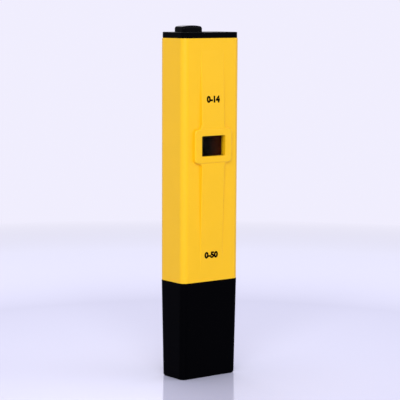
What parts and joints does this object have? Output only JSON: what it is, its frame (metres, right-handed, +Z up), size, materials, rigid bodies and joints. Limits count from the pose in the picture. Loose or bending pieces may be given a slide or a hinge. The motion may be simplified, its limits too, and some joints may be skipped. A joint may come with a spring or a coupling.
{
  "type": "ph meter pen",
  "caption": "Upright pocket pen for measuring acidity, with a display window, a push button on top, a pull-out battery unit and a pull-off cap over a glass bulb electrode.",
  "frame": {"origin": "centre of the flat foot of the protective cap, which the pen stands on", "axes": "+Z up along the pen to the button, -Y out of the front with the window, +X to the right seen from the front"},
  "size_m": [0.03, 0.0186, 0.15],
  "materials": {
    "yellow_plastic": "moulded, satin",
    "black_plastic": "moulded, semi-gloss",
    "clear_plastic": "polished",
    "display_glass": "polished",
    "display_film": "dark film",
    "contact_rubber": "matte",
    "board": "solder mask",
    "epoxy": "cast",
    "ceramic": "fired",
    "trimmer_blue": "moulded",
    "contact_metal": "plated spring sheet",
    "steel": "plain",
    "cell_steel": "polished",
    "electrode_glass": "blown",
    "tube_plastic": "moulded",
    "silver": "drawn wire",
    "seal_rubber": "matte",
    "lead_insulation": "extruded",
    "sponge": "open foam"
  },
  "bodies": {
    "instrument": {"housing": "yellow_plastic", "window_lens": "clear_plastic", "lcd_front_polariser": "display_film", "lcd_front_glass": "display_glass", "lcd_rear_glass": "display_glass", "lcd_rear_reflector": "display_film", "zebra_strips": "contact_rubber", "lcd_holder": "black_plastic", "main_board": "board", "display_driver": "epoxy", "amplifier_chip": "epoxy", "chip_resistors": "epoxy", "chip_capacitors": "ceramic", "trimmer_body": "trimmer_blue", "supply_contacts": "contact_metal", "board_screws": "steel", "electrode_holder": "black_plastic", "electrode_body": "tube_plastic", "glass_bulb": "electrode_glass", "sensing_wire": "silver", "reference_wire": "silver", "reference_junction": "ceramic", "electrode_seal": "seal_rubber", "electrode_leads": "lead_insulation", "temperature_sensor": "steel", "sensor_leads": "lead_insulation"},
    "battery_unit": {"top_cap": "black_plastic", "battery_tray": "black_plastic", "battery_cell_1": "cell_steel", "battery_cell_2": "cell_steel", "battery_cell_3": "cell_steel", "battery_cell_4": "cell_steel", "positive_contact": "contact_metal", "negative_contact": "contact_metal", "switch_strap": "contact_metal", "switch_body": "epoxy", "switch_pins": "contact_metal", "return_spring": "steel"},
    "button": {"power_button": "black_plastic", "switch_plunger": "tube_plastic"},
    "trimmer": {"trimmer_rotor": "contact_metal"},
    "cap": {"protective_cap": "black_plastic", "cap_sponge": "sponge"}
  },
  "joints": [
    {"name": "cap_slide", "type": "slide", "parent": "instrument", "child": "cap", "axis": [0, 0, -1], "range_m": [0, 0.038]},
    {"name": "battery_unit_slide", "type": "slide", "parent": "instrument", "child": "battery_unit", "axis": [0, 0, 1], "range_m": [0, 0.034]},
    {"name": "button_press", "type": "slide", "parent": "battery_unit", "child": "button", "axis": [0, 0, -1], "range_m": [0, 0.0015], "stiffness_N_per_m": 400, "springref_m": -0.0015, "deforming": ["return_spring"]},
    {"name": "trimmer_turn", "type": "hinge", "parent": "instrument", "child": "trimmer", "pos_m": [0, 0, 0.08], "axis": [0, 1, 0], "range_deg": [-105, 105]}
  ]
}
